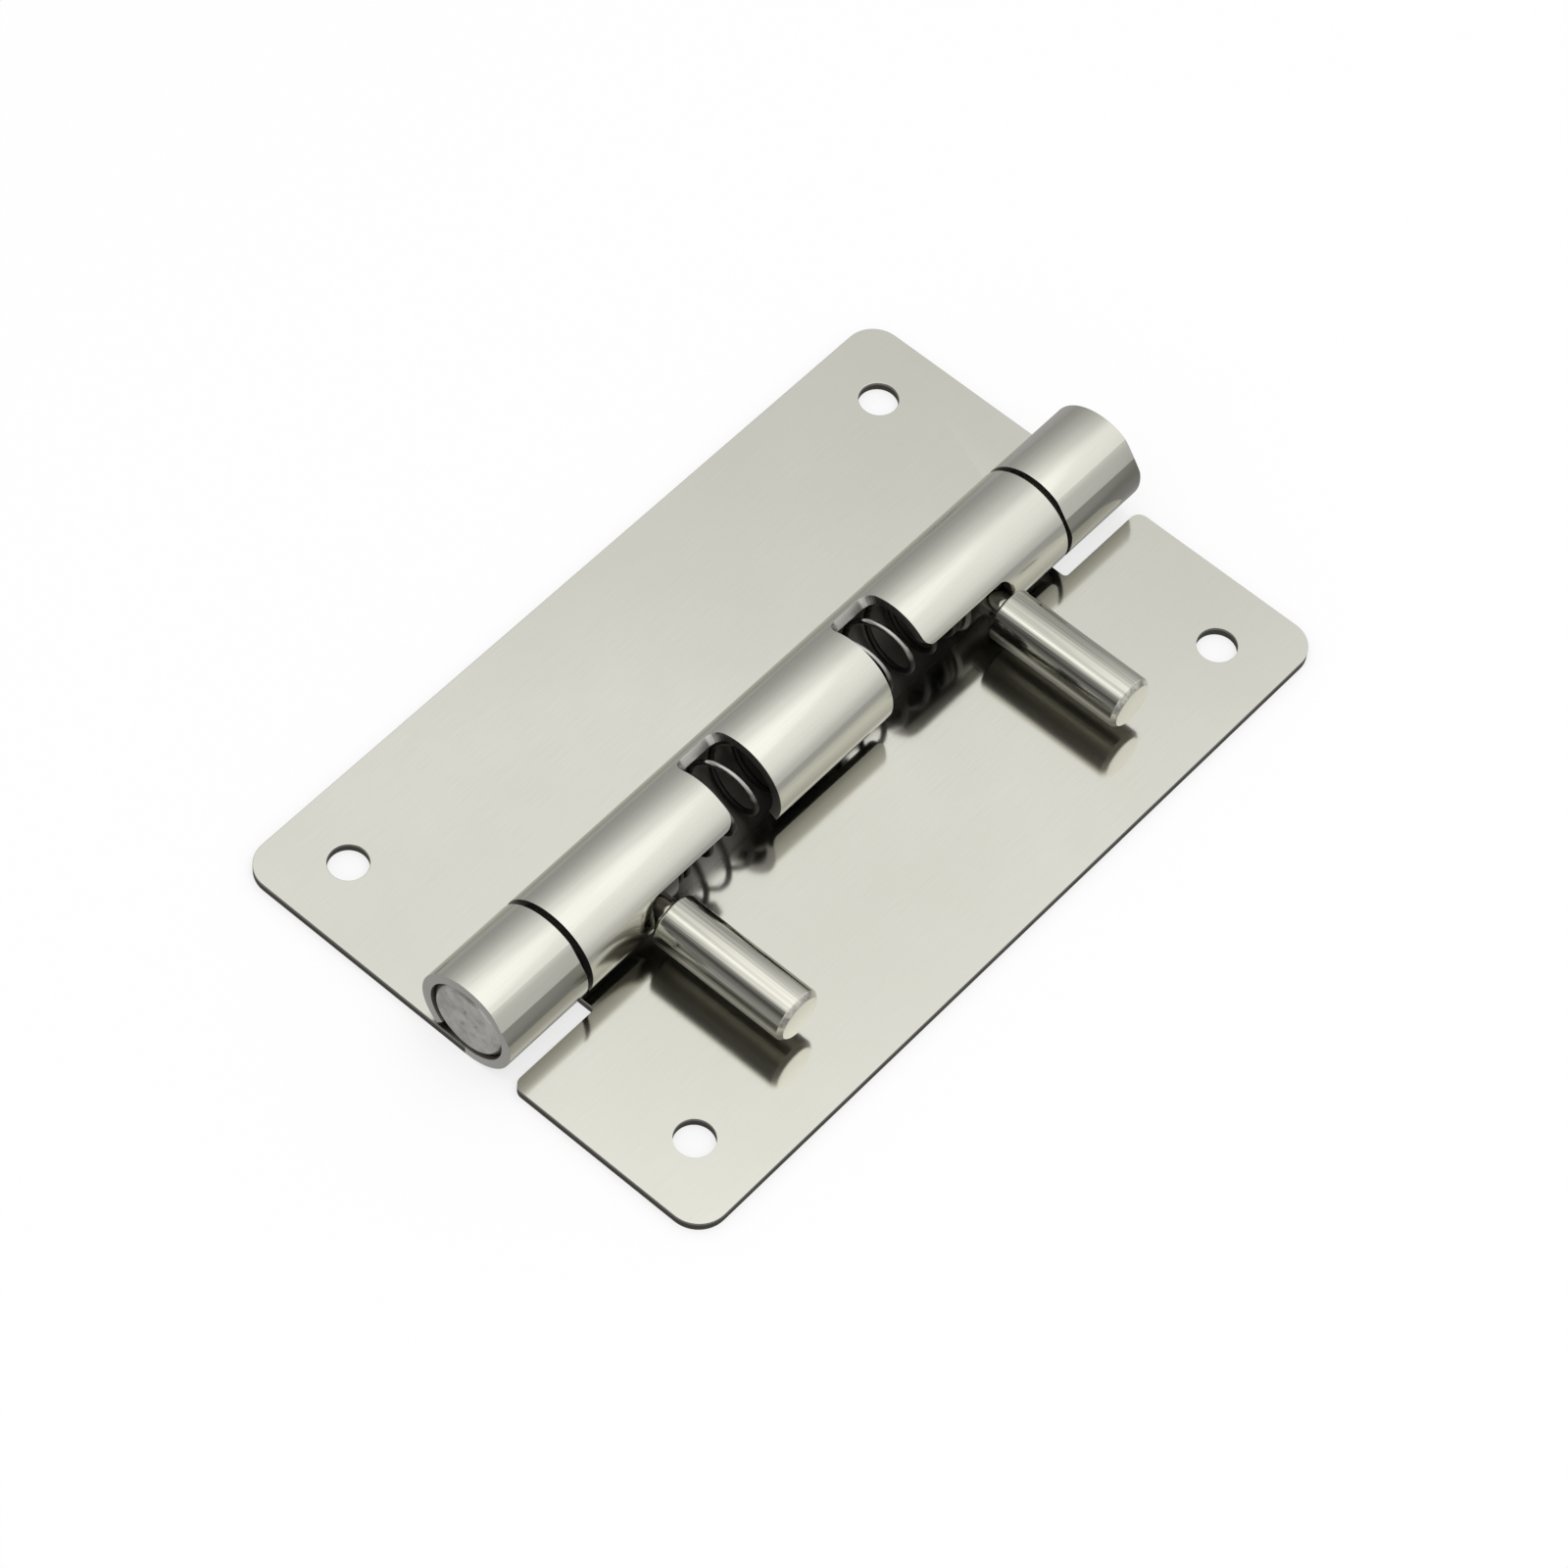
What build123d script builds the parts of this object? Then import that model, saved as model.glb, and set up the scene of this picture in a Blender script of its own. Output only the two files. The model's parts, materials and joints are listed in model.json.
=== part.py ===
from build123d import *
import os
from math import asin, cos, degrees, radians, sin, tan

os.makedirs("parts", exist_ok=True)

# Take-apart hinge with two sprung pins, lying open and flat.
# Millimetres. X runs across the leaves, Y along the barrel, Z up from the mounting plane.
# The hinge axis is parallel to Y, straight above the origin. Angles round the barrel are
# in degrees from +X, through +Z at the top.

# Sheet and leaves
SHEET = 1.2
LEAF_LENGTH = 100.0
LEAF_REACH = 32.0
LEAF_CORNER = 3.5
HOLE_DIAMETER = 4.5
HOLE_SPACING = 84.0
HOLE_FROM_AXIS = 24.0
NOTCH_CORNER = 1.2
NOTCH_ROOT = 0.5

# Pins
PIN_DIAMETER = 9.4
PIN_RUNNING_FIT = 0.15
PIN_NOSE_CHAMFER = 0.6
PIN_TAIL_CHAMFER = 0.4
PIN_PAST_STUD = 2.0

# Barrel, lengths along Y
KNUCKLE_LENGTH = 11.6
KNUCKLE_GAP = 0.75
MIDDLE_FINGER = 17.8
WINDOW_WIDTH = 6.35
STOP_LENGTH = 9.25
WINDOW_EDGE_ANGLE = 128.0
SLOT_EDGE_ANGLE = 32.0
FINGER_END_ANGLE = -30.0
SEAM_GAP = 0.3
LEAF_SWING_GAP = 0.4
CUT_CORNER = 1.4
TIP_CORNER = 1.0
PICK_TOLERANCE = 0.1

# Levers
LEVER_DIAMETER = 6.2
LEVER_LENGTH = 17.45
LEVER_TIP_CHAMFER = 0.55
LEVER_SHOULDER_CHAMFER = 0.3
LEVER_STANDOFF = 0.7
STUD_DIAMETER = 3.5
STUD_DEPTH = 6.0
STUD_FIT = 0.05
STUD_CHAMFER = 0.4
STUD_STOP_GAP = 0.1
DRILL_POINT_ANGLE = 118.0

# Spring
WIRE_DIAMETER = 0.7
WIRE_SIDES = 6
COIL_MEAN_DIAMETER = 7.8
COIL_PITCH = 3.55
COIL_TOP_Y = 13.6
CLOSED_PITCH = 0.75
CLOSED_TURNS = 1.0
EASING_TURNS = 0.5
POINTS_PER_TURN = 20
SPRING_SEAT_GAP = 0.05

# Places that follow from the sizes
bore_r = PIN_DIAMETER / 2 + PIN_RUNNING_FIT
barrel_r = bore_r + SHEET
axis_z = barrel_r
half_length = LEAF_LENGTH / 2
knuckle_y = half_length - KNUCKLE_LENGTH
finger_y = knuckle_y - KNUCKLE_GAP
middle_y = MIDDLE_FINGER / 2
window_y = middle_y + WINDOW_WIDTH
stop_y = finger_y - STOP_LENGTH
clear_x = barrel_r + LEAF_SWING_GAP
seam_angle = -degrees(asin((barrel_r - SHEET - SEAM_GAP) / barrel_r))
stud_r = STUD_DIAMETER / 2
lever_y = stop_y - STUD_STOP_GAP - stud_r
lever_x = barrel_r + LEVER_STANDOFF
pin_tail_y = lever_y - stud_r - PIN_PAST_STUD


def curl(end_angle):
    """Section of the rolled sheet: from under the axis, up the -X side and over the top to end_angle."""
    turn = 270.0 - end_angle
    outer = CenterArc((0, axis_z), barrel_r, 270.0, -turn)
    inner = CenterArc((0, axis_z), bore_r, 270.0, -turn)
    return make_face([outer, inner, Line(outer @ 0, inner @ 0), Line(outer @ 1, inner @ 1)])


def along(section, y0, y1):
    """Extrude an XZ section from y0 to y1."""
    return extrude(Pos(0, y1, 0) * (Plane.XZ * section), amount=y1 - y0, dir=(0, -1, 0))


def both_ends(solid):
    """The solid and its mirror image at the other end of the barrel."""
    return solid + mirror(solid, about=Plane.XZ)


def corner_edges(solid, y, angle):
    """The short edges through the sheet of the barrel at +-y and this angle."""
    r = bore_r + SHEET / 2
    x, z = r * cos(radians(angle)), axis_z + r * sin(radians(angle))
    spots = [Vector(x, y, z), Vector(x, -y, z)]
    edges = solid.edges().filter_by(GeomType.LINE)
    return [e for e in edges if min((e.center() - s).length for s in spots) < PICK_TOLERANCE]


def plate(outline, rounded):
    """Flat part of a leaf: the outline with chosen corners rounded, and its two screw holes."""
    flat = make_face(Polyline(*outline, close=True))
    for radius, corners in rounded:
        chosen = [v for v in flat.vertices() if (round(v.X, 3), round(v.Y, 3)) in corners]
        flat = fillet(chosen, radius)
    side = 1 if max(x for x, _ in outline) > LEAF_REACH / 2 else -1
    for end in (-1, 1):
        flat -= Pos(side * HOLE_FROM_AXIS, end * HOLE_SPACING / 2) * Circle(HOLE_DIAMETER / 2)
    return extrude(flat, amount=SHEET, dir=(0, 0, 1))


def corners_at(x, y):
    """The two outline corners at this x, one at each end."""
    return {(round(x, 3), round(y, 3)), (round(x, 3), round(-y, 3))}


def make_barrel_leaf():
    """Leaf whose edge is rolled into the middle barrel, with two windows and two lever slots."""
    outline = [
        (0, -finger_y), (clear_x, -finger_y), (clear_x, -half_length), (LEAF_REACH, -half_length),
        (LEAF_REACH, half_length), (clear_x, half_length), (clear_x, finger_y), (0, finger_y),
    ]
    leaf = plate(outline, [
        (LEAF_CORNER, corners_at(LEAF_REACH, half_length)),
        (NOTCH_CORNER, corners_at(clear_x, half_length)),
        (NOTCH_ROOT, corners_at(clear_x, finger_y)),
    ])
    leaf += along(curl(FINGER_END_ANGLE), -middle_y, middle_y)
    leaf += both_ends(along(curl(WINDOW_EDGE_ANGLE), middle_y, window_y))
    leaf += both_ends(along(curl(SLOT_EDGE_ANGLE), window_y, stop_y))
    leaf += both_ends(along(curl(FINGER_END_ANGLE), stop_y, finger_y))
    for y in (middle_y, window_y):
        leaf = fillet(corner_edges(leaf, y, WINDOW_EDGE_ANGLE), CUT_CORNER)
    for y in (window_y, stop_y):
        leaf = fillet(corner_edges(leaf, y, SLOT_EDGE_ANGLE), CUT_CORNER)
    for y in (middle_y, stop_y, finger_y):
        leaf = fillet(corner_edges(leaf, y, FINGER_END_ANGLE), TIP_CORNER)
    return leaf


def make_knuckle_leaf():
    """Leaf with the two outer knuckles, cut back between them to let the middle barrel turn."""
    outline = [
        (0, -half_length), (-LEAF_REACH, -half_length), (-LEAF_REACH, half_length), (0, half_length),
        (0, knuckle_y), (-clear_x, knuckle_y), (-clear_x, -knuckle_y), (0, -knuckle_y),
    ]
    leaf = plate(outline, [
        (LEAF_CORNER, corners_at(-LEAF_REACH, half_length)),
        (NOTCH_ROOT, corners_at(-clear_x, knuckle_y)),
    ])
    knuckle = mirror(along(curl(seam_angle), knuckle_y, half_length), about=Plane.YZ)
    return leaf + both_ends(knuckle)


def make_back_pin():
    """Round pin at the +Y end: chamfered nose flush with the knuckle, cross hole for the lever stud."""
    length = half_length - pin_tail_y
    pin = Pos(0, pin_tail_y + length / 2, axis_z) * Rot(90, 0, 0) * Cylinder(PIN_DIAMETER / 2, length)
    rims = pin.edges().filter_by(GeomType.CIRCLE).sort_by(Axis.Y)
    pin = chamfer(rims[-1], PIN_NOSE_CHAMFER)
    rims = pin.edges().filter_by(GeomType.CIRCLE).sort_by(Axis.Y)
    pin = chamfer(rims[0], PIN_TAIL_CHAMFER)
    hole_r = stud_r + STUD_FIT
    drill_point = hole_r / tan(radians(DRILL_POINT_ANGLE / 2))
    depth = STUD_DEPTH + STUD_FIT
    profile = make_face(Polyline(
        (PIN_DIAMETER, 0), (PIN_DIAMETER, hole_r), (PIN_DIAMETER / 2 - depth, hole_r),
        (PIN_DIAMETER / 2 - depth - drill_point, 0), close=True,
    ))
    hole = revolve(profile, axis=Axis.X)
    return pin - Pos(0, lever_y, axis_z) * hole


def make_back_lever():
    """Turned lever: chamfered finger grip, shoulder just off the barrel, stud into the pin."""
    tip_x = lever_x + LEVER_LENGTH
    stud_x = PIN_DIAMETER / 2 - STUD_DEPTH
    grip_r = LEVER_DIAMETER / 2
    profile = make_face(Polyline(
        (stud_x, 0), (stud_x, stud_r - STUD_CHAMFER), (stud_x + STUD_CHAMFER, stud_r),
        (lever_x, stud_r), (lever_x, grip_r - LEVER_SHOULDER_CHAMFER),
        (lever_x + LEVER_SHOULDER_CHAMFER, grip_r), (tip_x - LEVER_TIP_CHAMFER, grip_r),
        (tip_x, grip_r - LEVER_TIP_CHAMFER), (tip_x, 0), close=True,
    ))
    return Pos(0, lever_y, axis_z) * revolve(profile, axis=Axis.X)


def make_spring():
    """One coil spring between the pin tails: open turns, easing into a closed turn at each end."""
    seat_y = pin_tail_y - SPRING_SEAT_GAP - WIRE_DIAMETER / 2
    eased_y = (COIL_PITCH + CLOSED_PITCH) / 2 * EASING_TURNS
    open_turns = (seat_y - eased_y - CLOSED_PITCH * CLOSED_TURNS) / COIL_PITCH
    half_turns = open_turns + EASING_TURNS + CLOSED_TURNS

    def coil_y(turn):
        """Place along the barrel after this many turns, counted outwards from the middle."""
        eased = min(max(turn - open_turns, 0.0), EASING_TURNS)
        closed = max(turn - open_turns - EASING_TURNS, 0.0)
        slope_loss = (COIL_PITCH - CLOSED_PITCH) * eased**2 / (2 * EASING_TURNS)
        return COIL_PITCH * min(turn, open_turns + EASING_TURNS) - slope_loss + CLOSED_PITCH * closed

    steps = round(half_turns * POINTS_PER_TURN)
    path_points = []
    for step in range(-steps, steps + 1):
        turn = half_turns * step / steps
        y = coil_y(turn) if turn > 0 else -coil_y(-turn)
        angle = radians(90.0 - 360.0 * (turn - COIL_TOP_Y / COIL_PITCH))
        x = COIL_MEAN_DIAMETER / 2 * cos(angle)
        z = axis_z + COIL_MEAN_DIAMETER / 2 * sin(angle)
        path_points.append((x, y, z))
    path = Polyline(*path_points)
    wire = Plane(origin=path @ 0, z_dir=path % 0) * RegularPolygon(WIRE_DIAMETER / 2, WIRE_SIDES)
    return sweep(wire, path=path, transition=Transition.RIGHT)


barrel_leaf = make_barrel_leaf()
knuckle_leaf = make_knuckle_leaf()
back_pin = make_back_pin()
front_pin = mirror(back_pin, about=Plane.XZ)
back_lever = make_back_lever()
front_lever = mirror(back_lever, about=Plane.XZ)
spring = make_spring()

export_step(barrel_leaf, "parts/barrel_leaf.step")
export_step(knuckle_leaf, "parts/knuckle_leaf.step")
export_step(back_pin, "parts/back_pin.step")
export_step(front_pin, "parts/front_pin.step")
export_step(back_lever, "parts/back_lever.step")
export_step(front_lever, "parts/front_lever.step")
export_step(spring, "parts/spring.step")
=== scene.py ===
"""Dresses a take-apart spring hinge: rolled sheet leaves, turned pins and levers, and a coil spring."""

import json
import logging
import math
from collections.abc import Callable
from dataclasses import dataclass, field, replace
from enum import Enum

import bmesh
import bpy
from mathutils import Matrix, Vector, noise


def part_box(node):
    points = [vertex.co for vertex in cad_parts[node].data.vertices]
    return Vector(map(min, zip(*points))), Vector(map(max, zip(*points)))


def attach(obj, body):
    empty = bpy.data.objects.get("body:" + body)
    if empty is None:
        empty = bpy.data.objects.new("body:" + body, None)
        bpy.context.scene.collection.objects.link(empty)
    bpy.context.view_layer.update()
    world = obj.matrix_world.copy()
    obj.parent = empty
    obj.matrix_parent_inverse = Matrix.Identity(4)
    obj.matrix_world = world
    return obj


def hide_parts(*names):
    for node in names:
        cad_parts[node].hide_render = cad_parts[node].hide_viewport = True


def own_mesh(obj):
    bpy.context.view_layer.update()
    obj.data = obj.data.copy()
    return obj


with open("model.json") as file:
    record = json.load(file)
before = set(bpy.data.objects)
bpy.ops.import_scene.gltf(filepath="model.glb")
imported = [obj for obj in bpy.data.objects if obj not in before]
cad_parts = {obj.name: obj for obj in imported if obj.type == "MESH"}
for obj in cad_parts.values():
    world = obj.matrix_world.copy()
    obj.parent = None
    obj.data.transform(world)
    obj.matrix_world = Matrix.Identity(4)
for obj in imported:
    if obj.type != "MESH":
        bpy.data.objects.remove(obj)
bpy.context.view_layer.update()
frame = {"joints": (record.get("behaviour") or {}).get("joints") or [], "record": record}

log = logging.getLogger("spring_hinge")

MM = 0.001
WELD = 0.00001 * MM
IMAGE_SIDE = 1600
SENSOR_WIDTH = 36.0
QUARTER_TURN = 90.0
FULL_TURN = 360.0
PATTERN_ROUGHNESS = 0.55
WHITE = (1.0, 1.0, 1.0, 1.0)
BLACK = (0.0, 0.0, 0.0, 1.0)

Colour = tuple[float, float, float]
Rgba = tuple[float, float, float, float]
Range = tuple[float, float]
Profile = list[tuple[float, float]]
Tones = tuple[tuple[float, float], ...]
Socket = bpy.types.NodeSocket


class End(Enum):
    """The end of the barrel that a piece belongs to: the front one faces the camera."""

    FRONT = -1
    BACK = 1

    @property
    def label(self) -> str:
        """The word that starts the names of this end's pieces, body and joint."""
        return self.name.lower()

    @property
    def bolt(self) -> str:
        """The body that this end's pin and lever ride on."""
        return f"{self.label}_bolt"


class Edge(Enum):
    """The finish of a cut edge of a leaf, as its place among the leaf's materials."""

    SHEARED = 1
    GROUND = 2
    OILED = 3


class Lay(Enum):
    """How a finish's fine lines lie, as the squeeze of the pattern along X, Y and Z."""

    ALONG_Y = (1.0, 0.02, 1.0)
    ALONG_X = (0.012, 1.0, 1.0)
    EVEN = (1.0, 1.0, 1.0)


def joint_named(name: str) -> dict:
    """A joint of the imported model."""
    return next(joint for joint in frame["joints"] if joint["name"] == name)


@dataclass(frozen=True)
class Barrel:
    """The rolled barrel that all the pieces are set out from.

    Angles round it are in degrees from +X, through +Z at the top.
    """

    axis_z: float
    outer_r: float
    half_length: float
    sheet: float = 1.2 * MM
    knuckle_length: float = 11.6 * MM
    under_axis: float = 270.0

    @classmethod
    def from_frame(cls) -> "Barrel":
        """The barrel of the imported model."""
        low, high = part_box("barrel_leaf")
        return cls(axis_z=joint_named("leaf_swing")["pos_m"][2], outer_r=-low.x, half_length=high.y)

    @property
    def bore_r(self) -> float:
        """Radius of the hole that the pins run in."""
        return self.outer_r - self.sheet

    @property
    def mid_r(self) -> float:
        """Radius of the middle of the sheet."""
        return self.outer_r - self.sheet / 2

    def blank_length(self, angle: float) -> float:
        """Length along the flat sheet, from the line under the axis to a place round the barrel.

        Args:
            angle: the place round the barrel, in degrees.

        Returns:
            The length, negative because the rolled part of a blank lies below zero.
        """
        return -self.mid_r * math.radians(self.under_axis - angle)


@dataclass(frozen=True)
class Corner:
    """A corner of a flat blank, and the radius that it is rounded to."""

    along: float
    y: float
    radius: float = 0.0

    def mirrored(self) -> "Corner":
        """The same corner at the other end of the blank."""
        return Corner(self.along, -self.y, self.radius)


class Pad:
    """Adds nodes to one node tree and links them."""

    def __init__(self, tree: bpy.types.NodeTree) -> None:
        """Empty the tree."""
        self.tree = tree
        tree.nodes.clear()

    def add(self, kind: str, inputs: dict | None = None, **settings) -> bpy.types.Node:
        """Add a node.

        Args:
            kind: the node's type name.
            inputs: values or sockets for its inputs, by name or number.
            settings: the node's own properties.

        Returns:
            The node.
        """
        node = self.tree.nodes.new(kind)
        for key, value in settings.items():
            setattr(node, key, value)
        for key, value in (inputs or {}).items():
            if isinstance(value, Socket):
                self.tree.links.new(value, node.inputs[key])
            else:
                node.inputs[key].default_value = value
        return node

    def maths(self, operation: str, *values: Socket | float, clamp: bool = False) -> Socket:
        """The result of a sum on numbers or sockets."""
        node = self.add("ShaderNodeMath", dict(enumerate(values)), operation=operation, use_clamp=clamp)
        return node.outputs[0]

    def spread(self, value: Socket, low: float, high: float, to_low: float, to_high: float) -> Socket:
        """A value moved, and clamped, from one range to another."""
        inputs = {"Value": value, "From Min": low, "From Max": high, "To Min": to_low, "To Max": to_high}
        return self.add("ShaderNodeMapRange", inputs).outputs["Result"]

    def mix(self, share: Socket, first: Socket | Rgba, second: Socket | Rgba) -> Socket:
        """Two colours mixed by a share."""
        inputs = {0: share, 6: first, 7: second}
        return self.add("ShaderNodeMix", inputs, data_type="RGBA").outputs[2]

    def ramp(self, value: Socket, tones: Tones, brightest: float) -> Socket:
        """A share of the brightest tone for each value.

        Args:
            value: socket of the value, from 0 to 1.
            tones: (value, tone) steps, the first at 0 and the last at 1.
            brightest: the tone that counts as a full share.

        Returns:
            The socket of the share.
        """
        node = self.add("ShaderNodeValToRGB", {"Fac": value})
        steps = node.color_ramp.elements
        for at, tone in tones:
            step = {0.0: steps[0], 1.0: steps[-1]}.get(at) or steps.new(at)
            step.color = opaque((tone / brightest,) * 3)
        return node.outputs["Color"]

    def pattern(self, place: Socket, scale: float, detail: float, lay: Lay = Lay.EVEN) -> Socket:
        """A noise pattern, drawn out along its lay.

        Args:
            place: socket of the place on the piece.
            scale: the number of marks a metre.
            detail: the finer layers that each mark has.
            lay: how the marks lie.

        Returns:
            The socket of the pattern's value.
        """
        stretched = self.add("ShaderNodeMapping", {"Vector": place, "Scale": lay.value})
        noise_node = self.add("ShaderNodeTexNoise", {
            "Vector": stretched.outputs[0], "Scale": scale, "Detail": detail, "Roughness": PATTERN_ROUGHNESS,
        })
        return noise_node.outputs[0]


def opaque(colour: Colour) -> Rgba:
    """A colour with full alpha."""
    return (*colour, 1.0)


@dataclass(frozen=True)
class SteelFinish:
    """Bare steel with fine lines and faint clouding.

    The two ranges say which part of a pattern's values brings a tone or a gloss from least to most.
    """

    name: str
    colour: Colour
    cloud_colour: Colour
    roughness: float
    lay: Lay = Lay.EVEN
    line_width: float = 0.1 * MM
    line_depth: float = 0.0003 * MM
    line_gloss: float = 0.02
    line_shade: float = 0.03
    line_detail: float = 3.0
    cloud_size: float = 14.0 * MM
    cloud_gloss: float = 0.02
    cloud_detail: float = 4.0
    tone_range: Range = (0.35, 0.65)
    gloss_range: Range = (0.3, 0.7)

    def material(self) -> bpy.types.Material:
        """Make the finish.

        Returns:
            A node material on the piece's own coordinates.
        """
        made = bpy.data.materials.new(self.name)
        made.use_nodes = True
        pad = Pad(made.node_tree)
        place = pad.add("ShaderNodeTexCoord").outputs["Object"]
        lines = pad.pattern(place, 1 / self.line_width, self.line_detail, self.lay)
        clouds = pad.pattern(place, 1 / self.cloud_size, self.cloud_detail)
        clouding = pad.spread(clouds, *self.tone_range, 0.0, 1.0)
        lining = pad.spread(lines, *self.tone_range, 0.0, self.line_shade)
        colour = pad.mix(clouding, opaque(self.colour), opaque(self.cloud_colour))
        colour = pad.mix(lining, colour, BLACK)
        cloud_gloss = pad.spread(clouds, *self.gloss_range, -self.cloud_gloss, self.cloud_gloss)
        line_gloss = pad.spread(lines, *self.gloss_range, -self.line_gloss, self.line_gloss)
        gloss = pad.maths("ADD", cloud_gloss, self.roughness)
        gloss = pad.maths("ADD", line_gloss, gloss, clamp=True)
        bump = pad.add("ShaderNodeBump", {"Height": lines, "Distance": self.line_depth, "Strength": 1.0})
        colour, gloss = self.painted_shade_by_place(pad, place, colour, gloss)
        shader = pad.add("ShaderNodeBsdfPrincipled", {
            "Base Color": colour, "Roughness": gloss, "Metallic": 1.0, "Normal": bump.outputs[0],
        })
        pad.add("ShaderNodeOutputMaterial", {"Surface": shader.outputs[0]})
        return made

    def painted_shade_by_place(self, pad: Pad, place: Socket, colour: Socket, gloss: Socket) -> tuple[Socket, Socket]:
        """Painted shade and other marks that the place on the piece gives its colour and roughness: nothing
        on a plain finish.
        """
        return colour, gloss


@dataclass(frozen=True)
class LeafFinish(SteelFinish):
    """Satin sheet, dull and oily with painted shade in the rolled bore and under it, and with painted shade
    low on the barrel's flanks.

    Each flank's painted shade is given by the heights over the axis where it starts and where it is full,
    and its fade by the distances past the barrel's outside where it ends and where it is full. The flat part
    is a little smoother than the rolled part.
    """

    barrel: Barrel | None = None
    # oil and painted shade in the bore and on the flat sheet under it
    oil_and_shade_colour: Colour = (0.21, 0.2, 0.18)
    oil_roughness: float = 0.5
    fade_width: float = 0.25 * MM
    oil_and_shade_spill: float = 2.6 * MM
    # colour and reach of the painted shade low on the barrel's flanks
    painted_shade_colour: Colour = (0.36, 0.353, 0.31)
    painted_shade_fade: Range = (0.9 * MM, 0.1 * MM)
    left_painted_shade: Range = (3.3 * MM, 2.6 * MM)
    right_painted_shade: Range = (1.8 * MM, 0.0)
    flat_polish: float = 0.05

    def painted_shade_by_place(self, pad: Pad, place: Socket, colour: Socket, gloss: Socket) -> tuple[Socket, Socket]:
        """Darken, with oil and painted shade, what lies in the bore and under it, paint shade low on its
        flanks, and smooth the flat part.

        Args:
            pad: the material's nodes.
            place: socket of the piece's coordinates.
            colour: socket of the sheet's colour.
            gloss: socket of the sheet's roughness.

        Returns:
            The sockets of the new colour and roughness.
        """
        barrel = self.barrel
        x, _, z = pad.add("ShaderNodeSeparateXYZ", {0: place}).outputs
        height = pad.maths("SUBTRACT", z, barrel.axis_z)
        squares = (pad.maths("MULTIPLY", side, side) for side in (x, height))
        radius = pad.maths("SQRT", pad.maths("ADD", *squares))
        rightness = pad.spread(x, -self.fade_width, self.fade_width, 0.0, 1.0)
        leftness = pad.maths("SUBTRACT", 1.0, rightness)
        left = pad.maths("MULTIPLY", pad.spread(height, *self.left_painted_shade, 0.0, 1.0), leftness)
        right = pad.maths("MULTIPLY", pad.spread(height, *self.right_painted_shade, 0.0, 1.0), rightness)
        # painted shade: the barrel's flanks darkened low down, in the crook over the flat sheet
        far, near = (barrel.outer_r + past for past in self.painted_shade_fade)
        on_barrel = pad.spread(radius, far, near, 0.0, 1.0)
        painted_shade = pad.maths("MULTIPLY", pad.maths("ADD", left, right), on_barrel)
        # oil and painted shade: the bore, and the flat sheet under it, darkened and dulled
        inside = pad.spread(radius, barrel.bore_r + self.fade_width, barrel.bore_r, 0.0, 1.0)
        under = pad.maths(
            "MULTIPLY", pad.maths("LESS_THAN", z, barrel.sheet + self.fade_width),
            pad.spread(radius, barrel.bore_r + self.oil_and_shade_spill, barrel.bore_r, 0.0, 1.0),
        )
        oiled = pad.maths("MAXIMUM", inside, under)
        polish = pad.spread(z, barrel.sheet + self.fade_width, barrel.sheet, 0.0, self.flat_polish)
        gloss = pad.maths("SUBTRACT", gloss, polish)
        dull = pad.maths("MAXIMUM", gloss, pad.maths("MULTIPLY", oiled, self.oil_roughness))
        colour = pad.mix(painted_shade, colour, opaque(self.painted_shade_colour))
        return pad.mix(oiled, colour, opaque(self.oil_and_shade_colour)), dull


@dataclass(frozen=True)
class GradedFinish(SteelFinish):
    """Steel with painted shade low down, dark and dull: a torn sheet edge, a lever's underside or wire in
    the barrel.
    """

    low_shade_colour: Colour = (0.05, 0.048, 0.044)
    low_roughness: float = 0.6
    dark_below: float = 0.75 * MM
    unshaded_above: float = 1.0 * MM

    def painted_shade_by_place(self, pad: Pad, place: Socket, colour: Socket, gloss: Socket) -> tuple[Socket, Socket]:
        """Paint shade on the lower part.

        Args:
            pad: the material's nodes.
            place: socket of the piece's coordinates.
            colour: socket of the unshaded colour.
            gloss: socket of the unshaded roughness.

        Returns:
            The sockets of the new colour and roughness.
        """
        height = pad.add("ShaderNodeSeparateXYZ", {0: place}).outputs["Z"]
        # painted shade: darker and duller below a height
        dark = pad.spread(height, self.unshaded_above, self.dark_below, 0.0, 1.0)
        dull = pad.maths("MAXIMUM", gloss, pad.maths("MULTIPLY", dark, self.low_roughness))
        return pad.mix(dark, colour, opaque(self.low_shade_colour)), dull


# the sheet's own dark sheared edge, with painted shade on its lower part
SHEARED_EDGE = GradedFinish(
    "sheared_edge", colour=(0.42, 0.406, 0.37), cloud_colour=(0.34, 0.33, 0.3), roughness=0.4,
    low_shade_colour=(0.12, 0.115, 0.1),
)
GROUND_EDGE = SteelFinish(
    "ground_edge", colour=(0.74, 0.73, 0.69), cloud_colour=(0.64, 0.63, 0.59), roughness=0.33,
)
# oil and painted shade: dark edges in the barrel's gaps and slots
OILED_SHADED_EDGE = SteelFinish(
    "oiled_shaded_edge", colour=(0.3, 0.29, 0.27), cloud_colour=(0.2, 0.194, 0.18), roughness=0.4,
)
FACED_PIN = SteelFinish(
    "faced_pin", colour=(0.8, 0.79, 0.75), cloud_colour=(0.56, 0.55, 0.52), roughness=0.3,
    cloud_size=1.5 * MM, line_depth=0.002 * MM,
)
# oil and painted shade: the pin's sides, dark where they show in the barrel's gaps
OILED_SHADED_PIN = SteelFinish(
    "oiled_pin", colour=(0.12, 0.115, 0.1), cloud_colour=(0.08, 0.077, 0.07), roughness=0.4,
)
FACED_BAR = SteelFinish(
    "faced_bar", colour=(0.8, 0.79, 0.72), cloud_colour=(0.74, 0.73, 0.66), roughness=0.22,
)


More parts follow.
